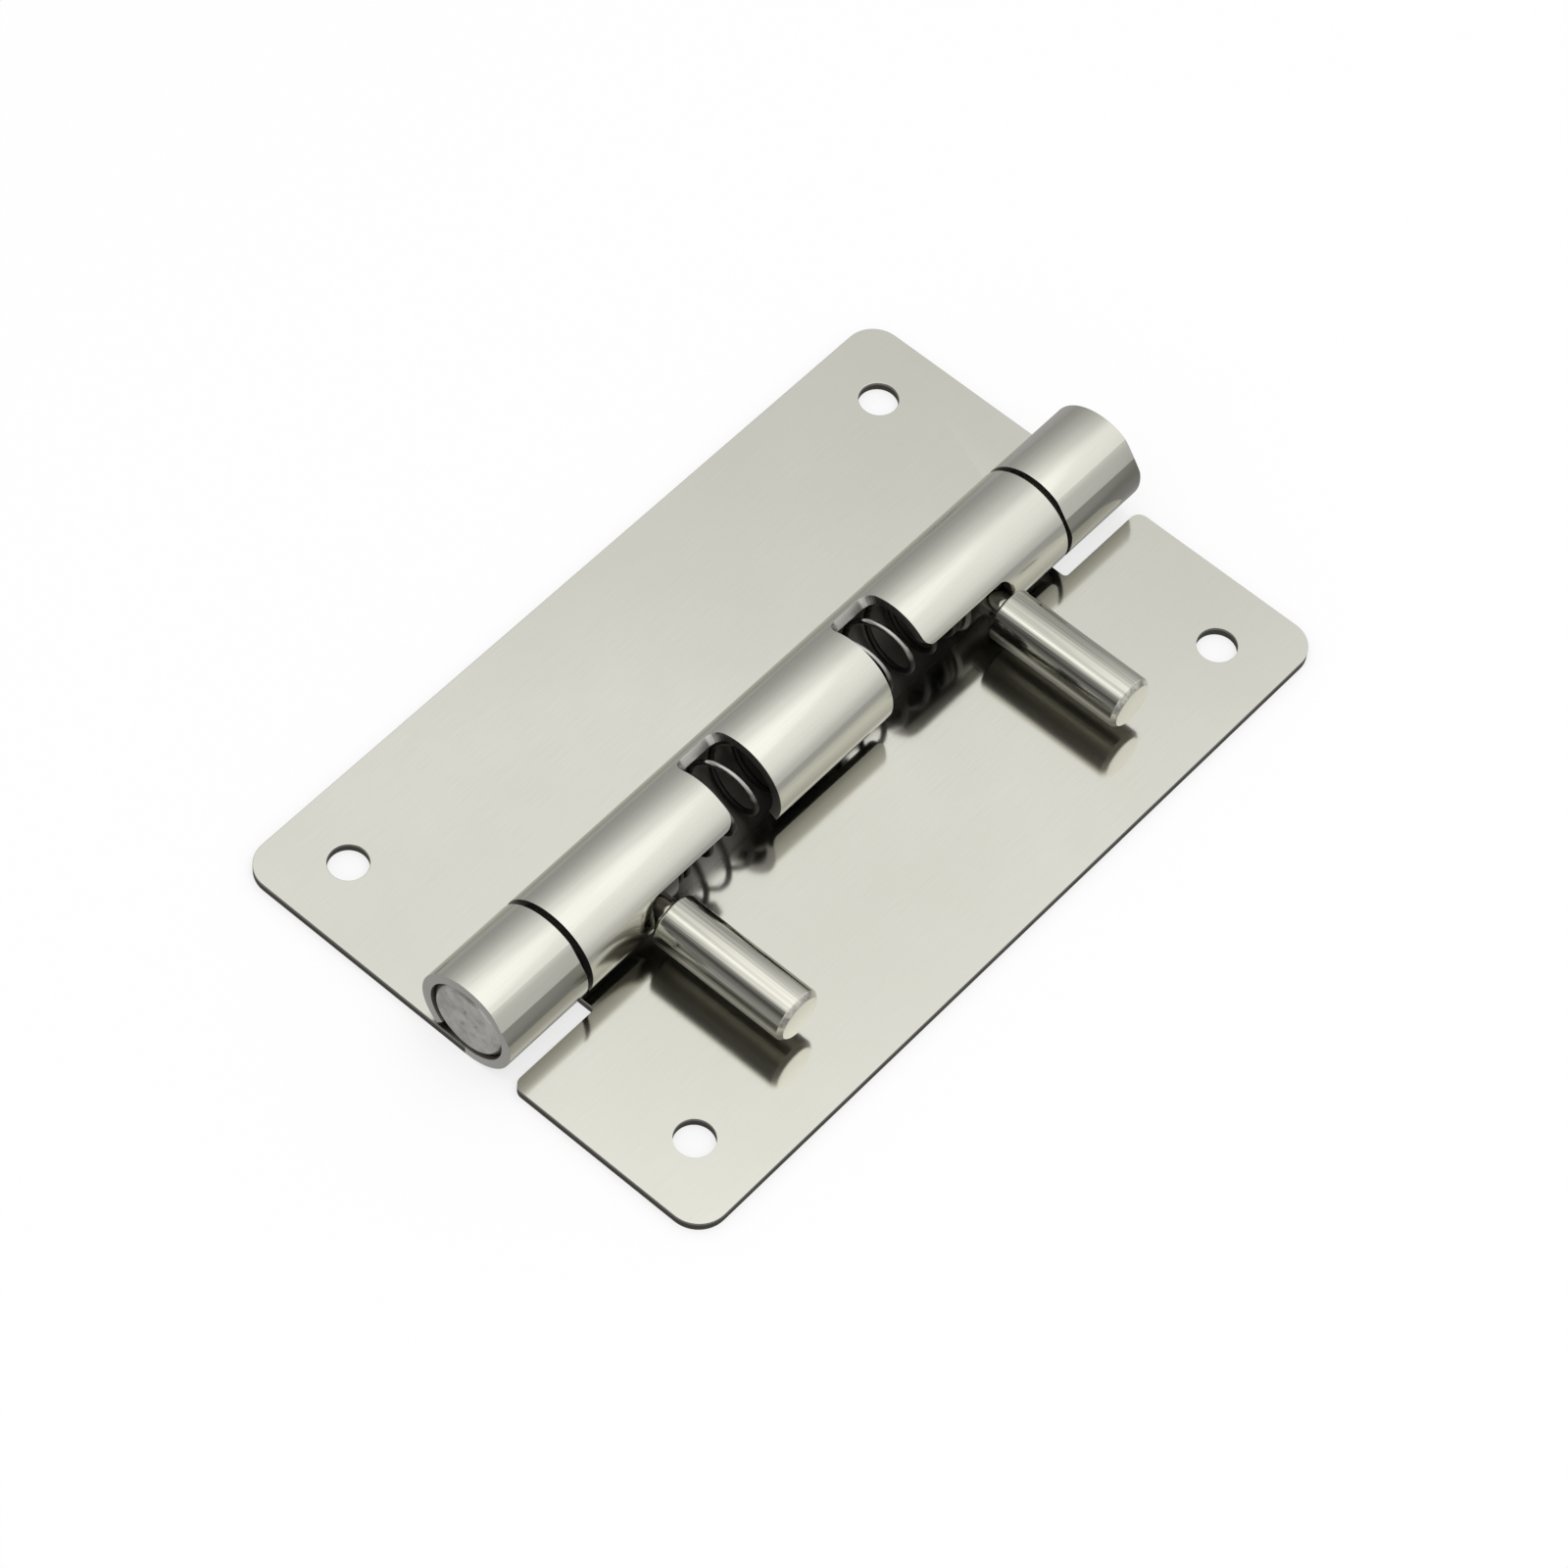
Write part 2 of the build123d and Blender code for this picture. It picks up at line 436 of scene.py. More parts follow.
@dataclass
class Piece:
    """A finished piece of the hinge: what it stands for, what carries it and how it is dressed."""

    name: str
    node: str
    body: str
    slot: str
    finishes: list[bpy.types.Material]
    sharp_angle: float = 20.0

    def place(self, bm: bmesh.types.BMesh) -> bpy.types.Object:
        """Turn the mesh into an object that rides on its body in place of its solid.

        Args:
            bm: the finished mesh, which is freed.

        Returns:
            The object.
        """
        for face in bm.faces:
            face.smooth = True
        mesh = bpy.data.meshes.new(self.name)
        bm.to_mesh(mesh)
        bm.free()
        mesh.set_sharp_from_angle(angle=math.radians(self.sharp_angle))
        for finish in self.finishes:
            mesh.materials.append(finish)
        made = bpy.data.objects.new(self.name, mesh)
        bpy.context.scene.collection.objects.link(made)
        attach(made, self.body)
        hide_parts(self.node)
        log.info("%s: %d faces, rides on %s", self.name, len(mesh.polygons), self.body)
        return made


def round_corners(bm: bmesh.types.BMesh, verts: list, radius: float, segments: int) -> None:
    """Round corners of a flat face.

    Args:
        bm: the mesh.
        verts: the corners, all square.
        radius: the radius of each.
        segments: the edges of each arc.
    """
    bmesh.ops.bevel(
        bm, geom=verts, offset=radius, offset_type="OFFSET", affect="VERTICES",
        segments=segments, profile=0.5, material=-1, clamp_overlap=False,
    )


def soften_edges(
    bm: bmesh.types.BMesh,
    width: float,
    segments: int,
    sharper_than: float,
    wanted: Callable[[Vector], bool] | None = None,
) -> None:
    """Break the sharp edges of a closed mesh.

    Args:
        bm: the mesh.
        width: how far the edge is cut back on each face.
        segments: the faces across each edge.
        sharper_than: the turn, in degrees, past which an edge counts as sharp.
        wanted: tells from its middle whether an edge is to be broken; all are without it.
    """
    limit = math.radians(sharper_than)
    edges = [edge for edge in bm.edges if edge.is_manifold and edge.calc_face_angle() > limit]
    if wanted:
        edges = [edge for edge in edges if wanted((edge.verts[0].co + edge.verts[1].co) / 2)]
    bmesh.ops.bevel(
        bm, geom=edges, offset=width, offset_type="OFFSET", affect="EDGES",
        segments=segments, profile=0.5, material=-1, clamp_overlap=True,
    )


def linked_edges(verts: list[bmesh.types.BMVert]) -> list[bmesh.types.BMEdge]:
    """The edges at some vertices, each once."""
    return list(dict.fromkeys(edge for vert in verts for edge in vert.link_edges))


def turned(profile: Profile, steps: int) -> bmesh.types.BMesh:
    """Turn a profile round the Y axis.

    Args:
        profile: (place along Y, radius) pairs from one end to the other, both ends on the axis.
        steps: the faces round the axis.

    Returns:
        A closed mesh.
    """
    bm = bmesh.new()
    verts = [bm.verts.new((radius, along, 0.0)) for along, radius in profile]
    edges = [bm.edges.new(pair) for pair in zip(verts, verts[1:])]
    bmesh.ops.spin(
        bm, geom=verts + edges, cent=(0, 0, 0), axis=(0, 1, 0),
        angle=math.radians(FULL_TURN), steps=steps, use_merge=True,
    )
    bmesh.ops.remove_doubles(bm, verts=bm.verts[:], dist=WELD)
    bmesh.ops.recalc_face_normals(bm, faces=bm.faces[:])
    return bm


@dataclass
class RolledLeaf:
    """A leaf made from one flat blank: cut, punched, rolled round the axis and given its thickness."""

    barrel: Barrel
    satin: bpy.types.Material
    sheared: bpy.types.Material
    ground: bpy.types.Material
    oiled: bpy.types.Material
    node: str = ""
    toward: int = 1
    corner_r: float = 3.5 * MM
    notch_root_r: float = 0.5 * MM
    swing_gap: float = 0.4 * MM
    edge_break: float = 0.3 * MM
    edge_facets: int = 3
    rim_break: float = 0.26 * MM
    rim_facets: int = 5
    sharper_than: float = 40.0
    shade_break: float = 10.0
    arc_turn: float = 7.5
    roll_turn: float = 3.0
    crease_snap: float = 0.05 * MM
    hole_sides: int = 48
    hole_margin: float = 4.0 * MM
    flat_share: float = 1.05
    edge_on: float = 0.5
    upward_from: float = 0.05

    @property
    def clear_x(self) -> float:
        """Where the sheet is cut back to clear the other leaf's barrel."""
        return self.barrel.outer_r + self.swing_gap

    @property
    def end_angle(self) -> float:
        """Where the rolled sheet ends, in degrees round the barrel."""
        raise NotImplementedError

    @property
    def reach(self) -> float:
        """Width of the flat part, from under the axis to the outer edge."""
        low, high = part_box(self.node)
        return max(high.x, -low.x)

    def half_outline(self) -> list[Corner]:
        """Corners of the blank at the +Y end, from the outer edge of the leaf to its rolled edge."""
        raise NotImplementedError

    def build(self) -> bpy.types.Object:
        """Cut, punch, roll and finish the leaf.

        Returns:
            The leaf's object.
        """
        bm = bmesh.new()
        self.cut_blank(bm)
        self.punch_holes(bm)
        self.roll(bm)
        self.thicken(bm)
        soften_edges(bm, self.rim_break, self.rim_facets, self.sharper_than, self.on_roll)
        soften_edges(bm, self.edge_break, self.edge_facets, self.sharper_than, self.on_flat)
        piece = Piece(
            f"{self.node}_sheet", self.node, self.node, "leaf_steel",
            [self.satin, self.sheared, self.ground, self.oiled], sharp_angle=self.shade_break,
        )
        return piece.place(bm)

    def cut_blank(self, bm: bmesh.types.BMesh) -> None:
        """Cut the blank's outline, and crease it finely where it will be rolled.

        Args:
            bm: an empty mesh, which gets the blank.
        """
        half = self.half_outline()
        outline = half + [corner.mirrored() for corner in reversed(half)]
        verts = [bm.verts.new((corner.along, corner.y, 0.0)) for corner in outline]
        bm.faces.new(verts)
        for radius in sorted({corner.radius for corner in outline if corner.radius}):
            chosen = [vert for vert, corner in zip(verts, outline) if corner.radius == radius]
            round_corners(bm, chosen, radius, round(QUARTER_TURN / self.arc_turn))
        step = -self.barrel.mid_r * math.radians(self.roll_turn)
        for crease in range(math.ceil(self.barrel.blank_length(self.end_angle) / step)):
            bmesh.ops.bisect_plane(
                bm, geom=bm.verts[:] + bm.edges[:] + bm.faces[:], dist=self.crease_snap,
                plane_co=(crease * step, 0, 0), plane_no=(1, 0, 0),
            )

    def punch_holes(self, bm: bmesh.types.BMesh) -> None:
        """Punch the two screw holes that the record's mounts give.

        Args:
            bm: the blank.
        """
        mount = next(m for m in frame["record"]["mounts"] if m["name"] == f"{self.node}_screws")
        hole_x = abs(mount["pos_m"][0])
        hole_r = mount["dims"]["hole_r_mm"] * MM
        offset_y = mount["dims"]["spacing_y_mm"] / 2 * MM
        for hole_y in (-offset_y, offset_y):
            self.crease_square(bm, hole_x, hole_y)
            centre = Vector((hole_x, hole_y, 0.0))
            around = min(bm.faces, key=lambda face: (face.calc_center_median() - centre).length)
            rim = list(around.edges)
            bmesh.ops.delete(bm, geom=[around], context="FACES_ONLY")
            hole = bmesh.ops.create_circle(
                bm, cap_ends=False, segments=self.hole_sides, radius=hole_r,
                matrix=Matrix.Translation(centre),
            )
            bmesh.ops.bridge_loops(bm, edges=rim + linked_edges(hole["verts"]))

    def crease_square(self, bm: bmesh.types.BMesh, x: float, y: float) -> None:
        """Crease the flat part of the blank along the sides of a square.

        Args:
            bm: the blank.
            x: the square's middle across the leaf.
            y: its middle along the leaf.
        """
        for axis, middle in ((Vector((1, 0, 0)), x), (Vector((0, 1, 0)), y)):
            for side in (-self.hole_margin, self.hole_margin):
                flat = [face for face in bm.faces if min(vert.co.x for vert in face.verts) > -WELD]
                parts = dict.fromkeys(part for face in flat for part in (*face.verts, *face.edges, face))
                bmesh.ops.bisect_plane(
                    bm, geom=list(parts), dist=WELD, plane_co=axis * (middle + side), plane_no=axis,
                )

    def roll(self, bm: bmesh.types.BMesh) -> None:
        """Roll the part of the blank below zero round the axis, its outer face on the barrel's outside.

        Args:
            bm: the punched blank.
        """
        for vert in bm.verts:
            along = vert.co.x
            if along < 0:
                angle = math.radians(self.barrel.under_axis) + along / self.barrel.mid_r
                vert.co.x = self.barrel.outer_r * math.cos(angle)
                vert.co.z = self.barrel.axis_z + self.barrel.outer_r * math.sin(angle)
        bmesh.ops.scale(bm, vec=(self.toward, 1, 1), verts=bm.verts[:])
        bm.normal_update()
        inward = [
            face for face in bm.faces
            if self.sheet_normal(face.calc_center_median()).dot(face.normal) > 0
        ]
        bmesh.ops.reverse_faces(bm, faces=inward)

    def sheet_normal(self, place: Vector) -> Vector:
        """The way into the sheet from its outer face: up on the flat part, to the axis on the rolled part.

        Args:
            place: a place on the sheet.

        Returns:
            The way, one unit long.
        """
        if self.on_flat(place):
            return Vector((0, 0, 1))
        return Vector((-place.x, 0, self.barrel.axis_z - place.z)).normalized()

    def on_flat(self, place: Vector) -> bool:
        """Whether a place is on the flat part of the leaf."""
        return self.toward * place.x > 0 and place.z < self.barrel.sheet * self.flat_share

    def on_roll(self, place: Vector) -> bool:
        """Whether a place is on the rolled part of the leaf."""
        return not self.on_flat(place)

    def thicken(self, bm: bmesh.types.BMesh) -> None:
        """Give the sheet its thickness, and mark its cut edges.

        Args:
            bm: the rolled sheet.
        """
        bmesh.ops.solidify(bm, geom=bm.faces[:], thickness=self.barrel.sheet)
        bm.normal_update()
        for face in bm.faces:
            place = face.calc_center_median()
            if abs(self.sheet_normal(place).dot(face.normal)) < self.edge_on:
                face.material_index = self.edge_finish(place, face.normal).value

    def edge_finish(self, place: Vector, normal: Vector) -> Edge:
        """How a cut edge looks.

        Args:
            place: a place on the edge.
            normal: the way the edge faces.

        Returns:
            Sheared on the flat part, ground on the barrel's ends and upward edges, and oiled with painted
            shade in its gaps and slots.
        """
        if self.on_flat(place):
            return Edge.SHEARED
        at_end = abs(place.y) > self.barrel.half_length - self.edge_break
        return Edge.GROUND if at_end or normal.z > self.upward_from else Edge.OILED


@dataclass
class BarrelLeaf(RolledLeaf):
    """The leaf whose edge is rolled into the middle of the barrel, with its windows and lever slots."""

    node: str = "barrel_leaf"
    notch_r: float = 1.2 * MM
    cut_r: float = 1.4 * MM
    tip_r: float = 1.0 * MM
    knuckle_gap: float = 0.75 * MM
    middle_y: float = 8.9 * MM
    window_width: float = 6.35 * MM
    stop_length: float = 9.25 * MM
    window_angle: float = 128.0
    slot_angle: float = 32.0
    finger_angle: float = -30.0

    @property
    def end_angle(self) -> float:
        """Where the fingers end, in degrees round the barrel."""
        return self.finger_angle

    def half_outline(self) -> list[Corner]:
        """Corners of the blank at the +Y end, from the outer edge of the leaf to its rolled edge."""
        half_length = self.barrel.half_length
        finger_y = half_length - self.barrel.knuckle_length - self.knuckle_gap
        stop_y = finger_y - self.stop_length
        window_y = self.middle_y + self.window_width
        angles = (self.slot_angle, self.window_angle, self.finger_angle)
        slot, window, tip = map(self.barrel.blank_length, angles)
        return [
            Corner(self.reach, half_length, self.corner_r),
            Corner(self.clear_x, half_length, self.notch_r),
            Corner(self.clear_x, finger_y, self.notch_root_r),
            Corner(tip, finger_y, self.tip_r),
            Corner(tip, stop_y, self.tip_r),
            Corner(slot, stop_y, self.cut_r),
            Corner(slot, window_y, self.cut_r),
            Corner(window, window_y, self.cut_r),
            Corner(window, self.middle_y, self.cut_r),
            Corner(tip, self.middle_y, self.tip_r),
        ]


@dataclass
class KnuckleLeaf(RolledLeaf):
    """The leaf with the two outer knuckles, cut back between them."""

    node: str = "knuckle_leaf"
    toward: int = -1
    seam_gap: float = 0.3 * MM
    press_angle: float = 35.5
    press_r: float = 5.6 * MM
    press_softness: float = 0.16 * MM

    @property
    def end_angle(self) -> float:
        """Where the knuckles come back down to the leaf, in degrees round the barrel before mirroring."""
        drop = self.barrel.outer_r - self.barrel.sheet - self.seam_gap
        return -math.degrees(math.asin(drop / self.barrel.outer_r))

    def half_outline(self) -> list[Corner]:
        """Corners of the blank at the +Y end, from the outer edge of the leaf to its cut-back edge."""
        half_length = self.barrel.half_length
        knuckle_y = half_length - self.barrel.knuckle_length
        seam = self.barrel.blank_length(self.end_angle)
        return [
            Corner(self.reach, half_length, self.corner_r),
            Corner(seam, half_length),
            Corner(seam, knuckle_y),
            Corner(self.clear_x, knuckle_y, self.notch_root_r),
        ]

    def thicken(self, bm: bmesh.types.BMesh) -> None:
        """Give the sheet its thickness, and press a soft flat on the outside of the knuckles.

        Args:
            bm: the rolled sheet.
        """
        super().thicken(bm)
        turn = math.radians(self.press_angle)
        outward = Vector((math.cos(turn), 0, math.sin(turn)))
        axis = Vector((0, 0, self.barrel.axis_z))
        for vert in bm.verts:
            spoke = Vector((vert.co.x, 0, vert.co.z)) - axis
            proud = spoke.dot(outward) - self.press_r
            if proud > 0 and spoke.length > self.barrel.mid_r:
                pressed = proud * proud / (proud + self.press_softness)
                vert.co -= spoke * (pressed / spoke.dot(outward))


@dataclass(frozen=True)
class Dent:
    """A round dent in a pin's face."""

    x: float
    z: float
    radius: float
    depth: float

    def depth_at(self, place: Vector) -> float:
        """How deep the dent is at a place on the face."""
        apart = math.hypot(place.x - self.x, place.z - self.z) / self.radius
        return self.depth * max(0.0, 1 - apart * apart) ** 2


@dataclass
class SprungPin:
    """A round pin, faced off at its outer end, with the small dents that facing and handling leave."""

    barrel: Barrel
    end: End
    faced: bpy.types.Material
    oiled: bpy.types.Material
    nose_chamfer: float = 0.6 * MM
    tail_chamfer: float = 0.4 * MM
    edge_break: float = 0.06 * MM
    edge_facets: int = 2
    sharper_than: float = 30.0
    face_rings: int = 30
    steps: int = 120
    wave_size: float = 1.1 * MM
    wave_depth: float = 0.05 * MM
    rim_power: int = 6
    dents: tuple[Dent, ...] = (
        Dent(-0.4 * MM, 1.5 * MM, radius=0.5 * MM, depth=0.3 * MM),
        Dent(1.1 * MM, 0.4 * MM, radius=0.6 * MM, depth=0.34 * MM),
        Dent(-0.6 * MM, -0.8 * MM, radius=0.45 * MM, depth=0.26 * MM),
        Dent(2.2 * MM, 1.8 * MM, radius=0.4 * MM, depth=0.2 * MM),
        Dent(-2.3 * MM, 0.3 * MM, radius=0.4 * MM, depth=0.16 * MM),
    )

    def build(self) -> bpy.types.Object:
        """Turn the pin and mark its face.

        Returns:
            The pin's object.
        """
        node = f"{self.end.label}_pin"
        low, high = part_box(node)
        radius = (high.x - low.x) / 2
        length = high.y - low.y
        face_r = radius - self.nose_chamfer
        bm = turned([
            (-length, 0.0),
            (-length, radius - self.tail_chamfer),
            (self.tail_chamfer - length, radius),
            (-self.nose_chamfer, radius),
            *((0.0, face_r * ring / self.face_rings) for ring in range(self.face_rings, -1, -1)),
        ], self.steps)
        soften_edges(bm, self.edge_break, self.edge_facets, self.sharper_than)
        for face in bm.faces:
            face.material_index = 0 if face.calc_center_median().y > -self.nose_chamfer else 1
        for vert in bm.verts:
            if vert.co.y > -WELD:
                vert.co.y -= self.dent_depth(vert.co, face_r)
        bmesh.ops.scale(bm, vec=(1, self.end.value, 1), verts=bm.verts[:])
        bmesh.ops.recalc_face_normals(bm, faces=bm.faces[:])
        nose = high.y if self.end is End.BACK else low.y
        bmesh.ops.translate(bm, vec=(0, nose, self.barrel.axis_z), verts=bm.verts[:])
        piece = Piece(f"{node}_turned", node, self.end.bolt, "pin_steel", [self.faced, self.oiled])
        return piece.place(bm)

    def dent_depth(self, place: Vector, face_r: float) -> float:
        """How far the pin's face lies below flat at a place.

        Args:
            place: the place on the face.
            face_r: radius of the face.

        Returns:
            The depth, nothing at the rim.
        """
        inward = max(0.0, 1 - (math.hypot(place.x, place.z) / face_r) ** self.rim_power)
        seed = Vector((place.x, self.end.value * self.wave_size, place.z)) / self.wave_size
        depth = self.wave_depth * (1 + noise.noise(seed))
        for dent in self.dents:
            depth += dent.depth_at(place)
        return depth * inward


@dataclass
class FingerLever:
    """A lever turned from drawn bar, with a neck that screws into its pin."""

    barrel: Barrel
    end: End
    drawn: bpy.types.Material
    faced: bpy.types.Material
    neck_r: float = 1.75 * MM
    standoff: float = 0.7 * MM
    tip_chamfer: float = 0.55 * MM
    shoulder_chamfer: float = 0.3 * MM
    neck_chamfer: float = 0.4 * MM
    edge_break: float = 0.08 * MM
    edge_facets: int = 3
    sharper_than: float = 25.0
    steps: int = 96

    def build(self) -> bpy.types.Object:
        """Turn the lever and set it across its pin.

        Returns:
            The lever's object.
        """
        node = f"{self.end.label}_lever"
        low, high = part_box(node)
        radius = (high.z - low.z) / 2
        shoulder = self.barrel.outer_r + self.standoff
        bm = turned([
            (low.x, 0.0),
            (low.x, self.neck_r - self.neck_chamfer),
            (low.x + self.neck_chamfer, self.neck_r),
            (shoulder, self.neck_r),
            (shoulder, radius - self.shoulder_chamfer),
            (shoulder + self.shoulder_chamfer, radius),
            (high.x - self.tip_chamfer, radius),
            (high.x, radius - self.tip_chamfer),
            (high.x, 0.0),
        ], self.steps)
        soften_edges(bm, self.edge_break, self.edge_facets, self.sharper_than)
        for face in bm.faces:
            face.material_index = 1 if face.calc_center_median().y > high.x - self.edge_break else 0
        across = Matrix.Rotation(math.radians(-QUARTER_TURN), 3, "Z")
        bmesh.ops.rotate(bm, cent=(0, 0, 0), matrix=across, verts=bm.verts[:])
        bmesh.ops.translate(bm, vec=(0, (low.y + high.y) / 2, self.barrel.axis_z), verts=bm.verts[:])
        piece = Piece(f"{node}_turned", node, self.end.bolt, "lever_steel", [self.drawn, self.faced])
        return piece.place(bm)


@dataclass
class SpringHalf:
    """Half of the coil spring, from the middle of the barrel to one pin: open turns, then a closed one."""

    barrel: Barrel
    end: End
    steel: bpy.types.Material
    wire_r: float = 0.35 * MM
    coil_r: float = 3.9 * MM
    pitch: float = 3.55 * MM
    closed_pitch: float = 0.75 * MM
    closed_turns: float = 1.0
    easing_turns: float = 0.5
    easing_steps: int = 9
    coil_top_y: float = 13.6 * MM
    seat_gap: float = 0.05 * MM
    wire_sides: int = 14
    steps_per_turn: int = 40
    shade_break: float = 50.0

    @property
    def seat(self) -> float:
        """How far from the middle the last turn bears on its pin."""
        low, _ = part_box("back_pin")
        return low.y - self.seat_gap - self.wire_r

    @property
    def open_turns(self) -> float:
        """Turns at the full pitch that are left once the end turns have taken their room."""
        eased = (self.pitch + self.closed_pitch) / 2 * self.easing_turns
        return (self.seat - eased - self.closed_pitch * self.closed_turns) / self.pitch

    def build(self) -> bpy.types.Object:
        """Wind the wire, its last turn closed up.

        Returns:
            The half spring's object.
        """
        bm = bmesh.new()
        start = math.radians(QUARTER_TURN + FULL_TURN * self.coil_top_y / self.pitch)
        outward = Vector((math.cos(start), 0, math.sin(start)))
        across = Vector((0, 1, 0))
        section = Matrix((outward, across, outward.cross(across))).transposed().to_4x4()
        section.translation = outward * self.coil_r + Vector((0, 0, self.barrel.axis_z))
        ring = bmesh.ops.create_circle(
            bm, cap_ends=False, segments=self.wire_sides, radius=self.wire_r, matrix=section,
        )
        last = ring["verts"] + linked_edges(ring["verts"])
        last = self.wind(bm, last, self.open_turns, self.pitch)
        for step in range(self.easing_steps):
            share = (step + 0.5) / self.easing_steps
            eased = self.pitch + (self.closed_pitch - self.pitch) * share
            last = self.wind(bm, last, self.easing_turns / self.easing_steps, eased)
        self.wind(bm, last, self.closed_turns, self.closed_pitch)
        bmesh.ops.holes_fill(bm, edges=[edge for edge in bm.edges if edge.is_boundary], sides=0)
        bmesh.ops.recalc_face_normals(bm, faces=bm.faces[:])
        piece = Piece(
            f"{self.end.label}_spring_half", "spring", "barrel_leaf", "spring_steel",
            [self.steel], sharp_angle=self.shade_break,
        )
        made = piece.place(bm)
        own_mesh(made)
        return made

    def wind(self, bm: bmesh.types.BMesh, wire: list, turns: float, pitch: float) -> list:
        """Wind the wire on round the barrel's axis.

        Args:
            bm: the mesh.
            wire: the wire's open end.
            turns: how many turns to wind.
            pitch: how far each turn carries the wire outwards.

        Returns:
            The wire's new open end.
        """
        steps = max(1, round(turns * self.steps_per_turn))
        made = bmesh.ops.spin(
            bm, geom=wire, cent=(0, 0, self.barrel.axis_z), axis=(0, 1, 0), steps=steps,
            angle=self.end.value * turns * 2 * math.pi,
            dvec=(0, self.end.value * pitch * turns / steps, 0),
        )
        return made["geom_last"]


def stage_object(
    bm: bmesh.types.BMesh,
    name: str,
    shader: Callable[[Pad], Socket],
    hidden_from: tuple[str, ...] = (),
) -> None:
    """Stand a mesh in the studio, with a glow of its own that isn't sampled as a lamp.

    Args:
        bm: the mesh, which is freed.
        name: the object's name.
        shader: adds the object's shader to the nodes and returns its socket.
        hidden_from: the kinds of rays that don't see the object.
    """
    mesh = bpy.data.meshes.new(name)
    bm.to_mesh(mesh)
    bm.free()
    material = bpy.data.materials.new(name)
    material.use_nodes = True
    material.cycles.emission_sampling = "NONE"
    pad = Pad(material.node_tree)
    pad.add("ShaderNodeOutputMaterial", {"Surface": shader(pad)})
    mesh.materials.append(material)
    made = bpy.data.objects.new(name, mesh)
    for ray in hidden_from:
        setattr(made, f"visible_{ray}", False)
    bpy.context.scene.collection.objects.link(made)
    log.info("%s: stands in the studio", name)


@dataclass(frozen=True)
class Surround:
    """What the metal mirrors: a graded light tent over the hinge and a grey mat round it.

    Tones go by height, the sine of the elevation, for three sides of the tent. Only reflections see it.
    """

    radius: float = 0.6
    tent_facets: tuple[int, int] = (48, 24)
    brightest: float = 1.5
    left: Tones = (
        (0.0, 0.34), (0.1, 0.37), (0.25, 0.40), (0.545, 0.55), (0.737, 0.75), (0.79, 0.835), (0.822, 0.945),
        (0.866, 0.92), (0.93, 1.13), (1.0, 1.2),
    )
    right: Tones = (
        (0.0, 0.56), (0.19, 0.63), (0.317, 0.76), (0.43, 0.87), (0.63, 0.97), (0.827, 1.06), (0.86, 1.22),
        (0.9, 1.25), (1.0, 1.3),
    )
    front: Tones = (
        (0.0, 0.28), (0.19, 0.28), (0.345, 0.16), (0.52, 0.10), (0.669, 0.31), (0.788, 0.98), (0.861, 1.45),
        (1.0, 1.25),
    )
    right_blend: Range = (-0.26, 0.0)
    front_blend: Range = (0.0, -0.3)
    front_from: Range = (-0.75, -0.55)
    front_to: Range = (0.2, 0.0)
    mat_tones: Tones = ((0.0, 0.45), (0.1, 0.4), (0.3, 0.34), (1.0, 0.34))
    mat_drop: float = 0.02 * MM
    mat_sides: int = 64
    hidden_from: tuple[str, ...] = ("camera", "diffuse", "shadow", "transmission", "volume_scatter")

    def build(self) -> None:
        """Put up the tent and lay the mat."""
        bm = bmesh.new()
        round_facets, rise_facets = self.tent_facets
        bmesh.ops.create_uvsphere(bm, u_segments=round_facets, v_segments=rise_facets, radius=self.radius)
        everything = bm.verts[:] + bm.edges[:] + bm.faces[:]
        bmesh.ops.bisect_plane(bm, geom=everything, plane_co=(0, 0, 0), plane_no=(0, 0, 1), clear_inner=True)
        stage_object(bm, "tent", self.tent_shader, self.hidden_from)
        bm = bmesh.new()
        bmesh.ops.create_circle(
            bm, cap_ends=True, segments=self.mat_sides, radius=self.radius,
            matrix=Matrix.Translation((0, 0, -self.mat_drop)),
        )
        stage_object(bm, "mat", self.mat_shader, self.hidden_from)

    def tent_shader(self, pad: Pad) -> Socket:
        """The tent's glow, graded by height and side.

        Args:
            pad: the tent's nodes.

        Returns:
            The socket of the glow.
        """
        place = pad.add("ShaderNodeTexCoord").outputs["Object"]
        way = pad.add("ShaderNodeVectorMath", {0: place}, operation="NORMALIZE")
        x, y, z = pad.add("ShaderNodeSeparateXYZ", {0: way.outputs[0]}).outputs
        graded = (self.left, self.right, self.front)
        left, right, front = (pad.ramp(z, tones, self.brightest) for tones in graded)
        sides = pad.mix(pad.spread(x, *self.right_blend, 0.0, 1.0), left, right)
        width = pad.maths(
            "MULTIPLY", pad.spread(x, *self.front_from, 0.0, 1.0), pad.spread(x, *self.front_to, 0.0, 1.0),
        )
        frontness = pad.maths("MULTIPLY", pad.spread(y, *self.front_blend, 0.0, 1.0), width)
        tone = pad.mix(frontness, sides, front)
        return pad.add("ShaderNodeEmission", {"Color": tone, "Strength": self.brightest}).outputs[0]

    def mat_shader(self, pad: Pad) -> Socket:
        """The mat's grey, darker away from the hinge.

        Args:
            pad: the mat's nodes.

        Returns:
            The socket of the glow.
        """
        place = pad.add("ShaderNodeTexCoord").outputs["Object"]
        away = pad.add("ShaderNodeVectorMath", {0: place}, operation="LENGTH").outputs["Value"]
        tone = pad.ramp(pad.maths("DIVIDE", away, self.radius), self.mat_tones, self.brightest)
        return pad.add("ShaderNodeEmission", {"Color": tone, "Strength": self.brightest}).outputs[0]


